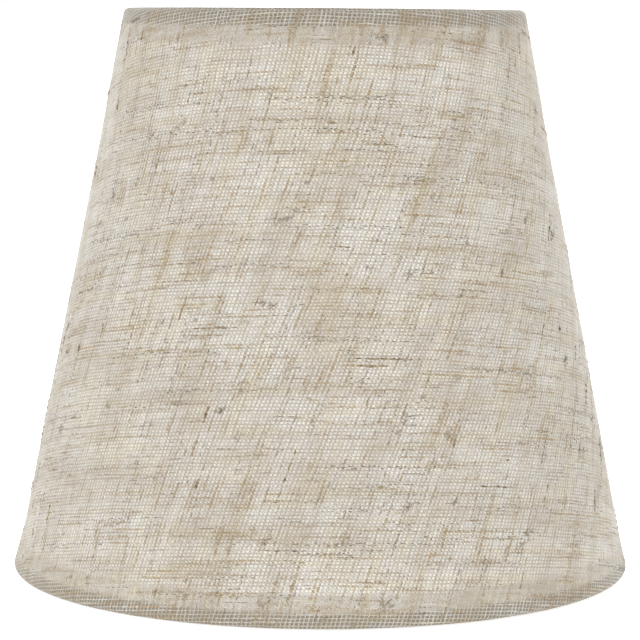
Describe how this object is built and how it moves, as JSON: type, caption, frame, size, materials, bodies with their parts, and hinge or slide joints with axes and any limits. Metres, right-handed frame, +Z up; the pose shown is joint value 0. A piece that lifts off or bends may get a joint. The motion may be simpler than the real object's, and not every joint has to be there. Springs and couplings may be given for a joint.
{
  "type": "clip-on lamp shade",
  "caption": "Small tapered lamp shade in slubby natural linen over a white liner, with wire rings and a sprung wire clip inside that grips a candle bulb.",
  "frame": {"origin": "on the shade's axis, in the plane that its bottom rim stands on", "axes": "+Z up along the axis from the wide bottom rim to the narrow top rim; the clip's crossbar lies along X and its jaws open along Y; -Y is the front"},
  "size_m": [0.1494, 0.1494, 0.1364],
  "materials": {
    "linen": "open plain weave of natural linen, slubby, matte",
    "liner_plastic": "white, satin",
    "ring_wire": "drawn wire, zinc plated",
    "clip_wire": "drawn wire, zinc plated",
    "weld": "weld bead, darkened by heat",
    "spring_wire": "bright spring wire"
  },
  "bodies": {
    "shade": {"linen_cover": "linen", "liner_shell": "liner_plastic", "bottom_ring": "ring_wire", "top_ring": "ring_wire", "clip_crossbar": "clip_wire", "crossbar_welds": "weld"},
    "front_jaw": {"clip_jaw_front": "spring_wire"},
    "rear_jaw": {"clip_jaw_rear": "spring_wire"}
  },
  "joints": [
    {"name": "front_jaw_hinge", "type": "hinge", "parent": "shade", "child": "front_jaw", "pos_m": [0, 0, 0.118], "axis": [-1, 0, 0], "range_deg": [0, 20], "stiffness_Nm_per_rad": 0.2},
    {"name": "rear_jaw_hinge", "type": "hinge", "parent": "shade", "child": "rear_jaw", "pos_m": [0, 0, 0.118], "axis": [1, 0, 0], "range_deg": [0, 20], "stiffness_Nm_per_rad": 0.2}
  ]
}
